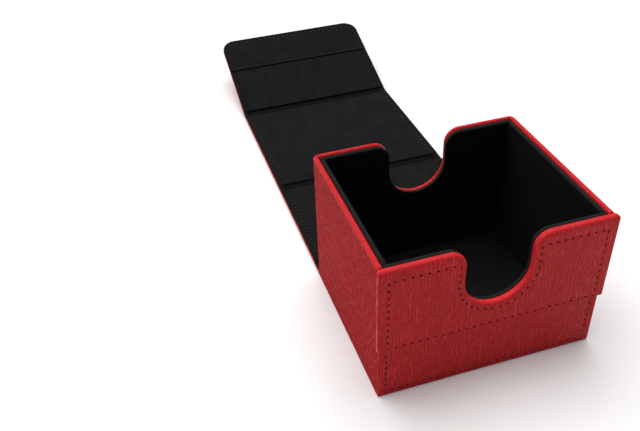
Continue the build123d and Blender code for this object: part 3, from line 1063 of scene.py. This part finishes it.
def cover_leather(body, shape, to_world, seam, free_end=False):
    """The outer leather of a stiff part of the cover: a shallow tray with its edges turned up."""
    low = (0.09, 0.3)
    high = (EDGE_ROLL, 0.8) if free_end else low
    behind = []
    for inset in (0.0, 0.12, 0.45, 0.58):
        side = (inset, EDGE_TOP - (0.25 if inset == 0.0 else 0.0))
        flush = (min(inset, 0.04) * 0.5, LEATHER)
        end = side if free_end else flush
        behind.append((edges(side[0], flush[0], end[0]), edges(side[1], flush[1], end[1])))
    behind.append((edges(0.62, 0.05, 0.62 if free_end else 0.05), everywhere(LEATHER)))
    behind.append((edges(2.5, 0.6, 2.5 if free_end else 0.6), everywhere(LEATHER)))
    piece, rows = plate(
        f"{body}_cover",
        shape,
        edges(EDGE_ROLL, low[0], high[0]),
        edges(0.8, low[1], high[1]),
        behind,
        to_world,
        unrolled,
        RIPPLE,
        seam,
        edge_of=cover_edge,
    )
    put(piece, body, "leather", f"{body}_leather")
    sew(body, rows, to_world, body)


def cover_lining(body, shape, to_world, seam, free_end=False):
    """The lining of a stiff part of the cover, with soft edges and the stitches showing through."""
    piece, rows = plate(
        f"{body}_cloth",
        shape,
        edges(0.5, 0.06, 0.45 if free_end else 0.06),
        edges(0.42, 0.1, 0.42 if free_end else 0.1),
        [
            (everywhere(0.02), everywhere(LINING_THICK - 0.1)),
            (everywhere(0.3), everywhere(LINING_THICK)),
        ],
        to_world,
        unrolled,
        LINING,
        seam,
    )
    put(piece, body, "cover_lining", f"{body}_lining")
    return rows


panels = (
    ("back_panel", back_panel_low[1], back_panel_high[1]),
    ("top_panel", top_panel_low[1], top_panel_high[1]),
)
for body, start, end in panels:
    runs = [([2], SEAM_ENDS), ([6], SEAM_ENDS)]
    seam = seam_along(edges(COVER_SEAM, 1.8, 1.8), COVER_HOLE, runs)
    cover_leather(body, rectangle(half_width, start, end), facing_down(0.0), seam)
    seam = seam_along(edges(LINING_SEAM, 1.8, 1.8), LINING_HOLE, runs, LINING_GROOVE)
    rows = cover_lining(body, rectangle(lining_half, start, end), facing_up(cover_top), seam)
    dots = thread(
        f"{body}_inner_stitches", rows, 0.16, facing_up(cover_top), BLACK_THREAD, **FINE_THREAD
    )
    put(dots, body, "thread")

flap_start = crease["front_crease"] + CREASE_HALF
flap_end = crease["front_crease"] + FLAP_LENGTH
flap_runs = [([2, 3, 4, 5, 6], SEAM_ENDS)]
cover_leather(
    "flap",
    rectangle(half_width, flap_start, flap_end, SHARP, FLAP_CORNER),
    tilted(facing_down(0.0)),
    seam_along(edges(COVER_SEAM, 1.8, COVER_SEAM), COVER_HOLE, flap_runs),
    True,
)
cover_lining(
    "flap",
    rectangle(lining_half, flap_start, flap_end - LINING_SETBACK, SHARP, FLAP_LINING_CORNER),
    tilted(facing_up(cover_top)),
    seam_along(edges(LINING_SEAM, 1.8, LINING_SEAM), LINING_HOLE, flap_runs, LINING_GROOVE),
    True,
)

POCKET_SEAM = COVER_SEAM - POCKET_EDGE
pocket_top = cover_top + POCKET_THICK
pocket_low = crease["front_crease"] + POCKET_START
pocket_world = tilted(facing_up(pocket_top))
pocket, rows = plate(
    "magnet_pocket_cloth",
    rectangle(half_width - POCKET_EDGE, pocket_low, flap_end - POCKET_EDGE, SHARP, POCKET_CORNER),
    edges(0.55, 0.45, 0.55),
    edges(0.5, 0.45, 0.5),
    [
        (edges(0.02, 0.0, 0.02), everywhere(0.62)),
        (edges(0.02, -0.9, 0.02), everywhere(0.64)),
        (edges(0.04, -0.95, 0.04), everywhere(0.67)),
        (everywhere(0.3), everywhere(POCKET_THICK)),
    ],
    pocket_world,
    unrolled,
    LINING,
    seam_along(edges(POCKET_SEAM, 2.0, POCKET_SEAM), 0.34, [(list(range(8)), (0.0, 0.0))]),
    # The pocket's low edge: a painted highlight along its lip, and a painted shadow line below it.
    edge_of=lambda u, v, depth: 0.35 if depth < 0.3 and v < pocket_low + 1.1 else 0.0,
    dark_of=lambda u, v, depth: 1.0 if depth > 0.2 and v < pocket_low + 0.6 else 0.0,
)
put(pocket, "flap", "cover_lining", "magnet_pocket")
stitches = thread("magnet_pocket_stitches", rows, 0.2, pocket_world, BLACK_THREAD, **FINE_THREAD)
put(stitches, "flap", "thread", "magnet_pocket_thread")

# ---------------------------------------------------------------- creases

LEATHER_ROW = 3.0
# The lining's rows by the panels' edges: (distance from the crease's middle, share of the depth).
LINING_ROWS = ((3.5, 0.02), (3.4, 0.20), (3.25, 0.60), (3.1, 1.0))
GROOVE_TOP = 1.9
GROOVE_SAMPLES = 40
GROOVE_DARK = 0.85


def leather_section(s):
    """The crease leather across any row of the strip: flat below, with its edges turned up."""
    half, top = half_width, EDGE_TOP - 0.3
    right = [(half - 0.9, 0.0), (half - 0.5, 0.08), (half - 0.15, 0.35), (half, 0.8)]
    right += [(half, top - 0.2), (half - 0.15, top), (half - 0.45, top)]
    right += [(half - 0.6, top - 0.2), (half - 0.6, LEATHER)]
    left = [(-x, z) for x, z in right]
    bottom = [(-(half - 0.9) + 2 * (half - 0.9) * k / 12, 0.0) for k in range(1, 12)]
    top_row = [((half - 0.6) - 2 * (half - 0.6) * k / 12, LEATHER) for k in range(1, 12)]
    return left[:1] + bottom + right + top_row + left[:0:-1]


def lining_section(s):
    """The crease lining across the strip: pressed down in the groove, level near the edges."""
    share = dict(LINING_ROWS).get(abs(s), 1.0)
    half = lining_half
    near = [half - 0.6 - k * 0.7 for k in range(6)]
    span = near[-1]
    across = [span - 2 * span * k / GROOVE_SAMPLES for k in range(1, GROOVE_SAMPLES)]
    top = []
    for x in [*near, *across, *[-x for x in near[::-1]]]:
        t = min(1.0, max(0.0, (half - 1.0 - abs(x)) / 2.4))
        fade = t * t * (3 - 2 * t)
        z = cover_top - 0.06 - (cover_top - GROOVE_TOP) * share * (0.22 + 0.78 * fade)
        top.append((x, z))
    edge_z = top[0][1]
    right = [(half, LEATHER + 0.03), (half, edge_z - 0.3), (half - 0.2, edge_z - 0.08)]
    return right + top + [(-x, z) for x, z in right[::-1]]


def groove_shade(x, z):
    """How much painted shade darkens the crease lining: the more, the deeper it lies in the groove.
    """
    depth = min(1.0, max(0.0, (cover_top - z) / (cover_top - GROOVE_TOP)))
    return GROOVE_DARK * depth**3 if z > 1.0 else 0.0


def crease_piece(crease_name, kind, rows, section_at, look, shade=None):
    """A strip across a crease, drawn as it lies at rest: all of its points lie clear of the pivot.
    """
    y = crease[crease_name]
    turned = crease_name == "front_crease"
    section = [(x, s, z) for s in rows for x, z in section_at(s)]
    flat = [(x, y + s, z) for x, s, z in section]
    count = len(section) // len(rows)
    piece = make_mesh(
        f"{crease_name}_{kind}",
        [tilt(p) if turned and s > 0 else p for p, (_, s, _) in zip(flat, section)],
        loft([section[i : i + count] for i in range(0, len(section), count)]),
        look,
        [(x, v, 0.0) for x, v, _ in flat],
        [shade(x, z) for x, _, z in section] if shade else None,
        sharp=60,
    )
    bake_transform(piece)
    return piece


CREASE_BODIES = {
    "heel_crease": ("tray", "back_panel"),
    "rear_crease": ("back_panel", "top_panel"),
    "front_crease": ("top_panel", "flap"),
}
far_rows = [s for s, _ in LINING_ROWS][::-1]
for name in CREASE_BODIES:
    rows = (-CREASE_HALF, -LEATHER_ROW, LEATHER_ROW, CREASE_HALF)
    strip = crease_piece(name, "cover", rows, leather_section, RIPPLE)
    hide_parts(f"{name}_leather")
    heel = name == "heel_crease"
    near_rows = [heel_lining_low[1] - crease[name]] if heel else [-s for s, _ in LINING_ROWS]
    rows = [*near_rows, *far_rows]
    strip = crease_piece(name, "cloth", rows, lining_section, LINING, groove_shade)
    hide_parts(f"{name}_lining")

# ---------------------------------------------------------------- floor, light and camera


FLOOR_Z = -0.15
FLOOR_REACH, FLOOR_CELLS = 12.0, 8


def pale_floor():
    """A wide, pale floor, not part of the object."""
    mesh = bpy.data.meshes.new("studio_floor")
    steps = [-FLOOR_REACH + 2 * FLOOR_REACH * k / FLOOR_CELLS for k in range(FLOOR_CELLS + 1)]
    row = len(steps)
    corners = [j * row + i for j in range(FLOOR_CELLS) for i in range(FLOOR_CELLS)]
    mesh.from_pydata(
        [(x, y, FLOOR_Z * MM) for y in steps for x in steps],
        [],
        [(c, c + 1, c + row + 1, c + row) for c in corners],
    )
    floor = bpy.data.objects.new("studio_floor", mesh)
    bpy.context.scene.collection.objects.link(floor)
    s = Shader("pale_floor")
    place = s.node("ShaderNodeTexCoord").outputs["Object"]
    cloud = s.noise(s.scaled(place, 180.0, 180.0, 180.0), detail=3.0)
    colour = s.ramp(cloud, [(0.3, (0.86, 0.86, 0.86)), (0.7, (0.89, 0.89, 0.89))])
    mesh.materials.append(s.set(Base_Color=colour, Roughness=0.9))


def sun(name, direction, strength, angle):
    """A very soft sun: it shines along a direction, and is this many degrees wide."""
    lamp = bpy.data.lights.new(name, "SUN")
    lamp.energy = strength
    lamp.angle = math.radians(angle)
    light = bpy.data.objects.new(name, lamp)
    bpy.context.scene.collection.objects.link(light)
    light.location = (0, 0, 1)
    light.rotation_mode = "QUATERNION"
    light.rotation_quaternion = Vector(direction).to_track_quat("-Z", "Y")


SUN_WAY, SUN_STRENGTH, SUN_WIDTH = (0.10, -0.32, -1.0), 3.6, 70
AMBIENT, BACKDROP = 0.18, 1.0


def studio():
    """Soft light from above, a little behind the box, and a weak even ambience."""
    sun("overhead", SUN_WAY, SUN_STRENGTH, SUN_WIDTH)
    world = bpy.data.worlds.new("studio")
    bpy.context.scene.world = world
    world.use_nodes = True
    tree = world.node_tree
    lit, seen = tree.nodes["Background"], tree.nodes.new("ShaderNodeBackground")
    for background, strength in ((lit, AMBIENT), (seen, BACKDROP)):
        background.inputs[0].default_value = (1.0, 1.0, 1.0, 1.0)
        background.inputs[1].default_value = strength
    path = tree.nodes.new("ShaderNodeLightPath")
    mix = tree.nodes.new("ShaderNodeMixShader")
    tree.links.new(path.outputs["Is Camera Ray"], mix.inputs[0])
    tree.links.new(lit.outputs[0], mix.inputs[1])
    tree.links.new(seen.outputs[0], mix.inputs[2])
    tree.links.new(mix.outputs[0], tree.nodes["World Output"].inputs[0])
    bpy.context.scene.view_settings.view_transform = "Standard"


CAMERA_PLACE = (-130.8, -245.3, 264.3)
CAMERA_PITCH, CAMERA_ROLL, CAMERA_YAW = 37.19, 2.78, 15.73
CAMERA_LENS, SENSOR = 42.76, 36.0


def camera():
    """The camera, at the viewing angle of the picture that the box is matched to."""
    pitch, roll, yaw = (math.radians(v) for v in (CAMERA_PITCH, CAMERA_ROLL, CAMERA_YAW))
    forward = Vector((0, math.cos(pitch), -math.sin(pitch)))
    down = Vector((0, -math.sin(pitch), -math.cos(pitch)))
    right = Vector((1, 0, 0)) * math.cos(roll) + down * math.sin(roll)
    lower = Vector((-1, 0, 0)) * math.sin(roll) + down * math.cos(roll)
    turn = Matrix.Rotation(-yaw, 3, "Z")
    columns = [turn @ right, turn @ -lower, turn @ -forward]
    matrix = Matrix([[column[k] for column in columns] for k in range(3)]).to_4x4()
    matrix.translation = Vector(CAMERA_PLACE) * MM
    lens = bpy.data.cameras.new("camera")
    lens.lens, lens.sensor_width = CAMERA_LENS, SENSOR
    lens.clip_start, lens.clip_end = 0.01, 50.0
    made = bpy.data.objects.new("camera", lens)
    bpy.context.scene.collection.objects.link(made)
    made.matrix_world = matrix
    bpy.context.scene.camera = made


pale_floor()
studio()
camera()
